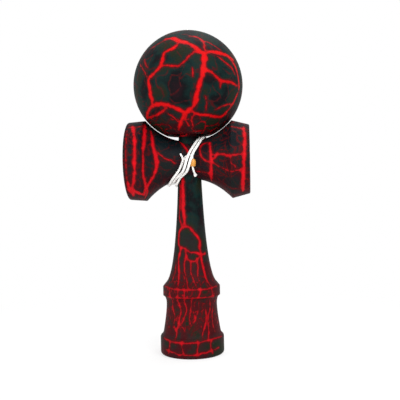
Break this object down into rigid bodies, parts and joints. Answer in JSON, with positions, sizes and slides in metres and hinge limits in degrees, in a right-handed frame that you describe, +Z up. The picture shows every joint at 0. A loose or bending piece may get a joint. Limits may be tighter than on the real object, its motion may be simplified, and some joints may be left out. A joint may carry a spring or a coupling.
{
  "type": "kendama",
  "caption": "Wooden kendama: turned handle with spike and base cup, cross-piece with cups, holed ball resting on the spike, string wound round the waist.",
  "frame": {"origin": "centre of the base cup's rim, on the surface that the handle stands on", "axes": "+Z up along the handle to the spike and ball, X along the cross-piece with the big cup at -X, -Y the front with the bead"},
  "size_m": [0.0658, 0.0608, 0.1769],
  "materials": {
    "handle_crackle": "black crackle paint over red, satin",
    "cross_crackle": "black crackle paint over red, satin",
    "ball_crackle": "black crackle paint over red, satin",
    "orange_bead": "orange lacquer",
    "inner_bead": "plain turned wood",
    "string": "white braided cotton string"
  },
  "bodies": {
    "handle": {"ken": "handle_crackle", "sarado": "cross_crackle", "front_bead": "orange_bead", "front_knot": "string", "knot_tail": "string", "bead_tail": "string", "tail_knot": "string", "anchor_string": "string", "stop_knot": "string", "string_winding": "string"},
    "string_end": {"string_riser": "string", "ball_bead": "inner_bead", "ball_knot": "string"},
    "ball": {"tama": "ball_crackle"}
  },
  "joints": [
    {"name": "tama_lift", "type": "slide", "parent": "handle", "child": "string_end", "axis": [0, 0, 1], "range_m": [0, 0.2], "deforming": ["string_riser"]},
    {"name": "tama_spin", "type": "hinge", "parent": "string_end", "child": "ball", "pos_m": [0, 0, 0.1455], "axis": [0, 0, 1], "continuous": true}
  ]
}
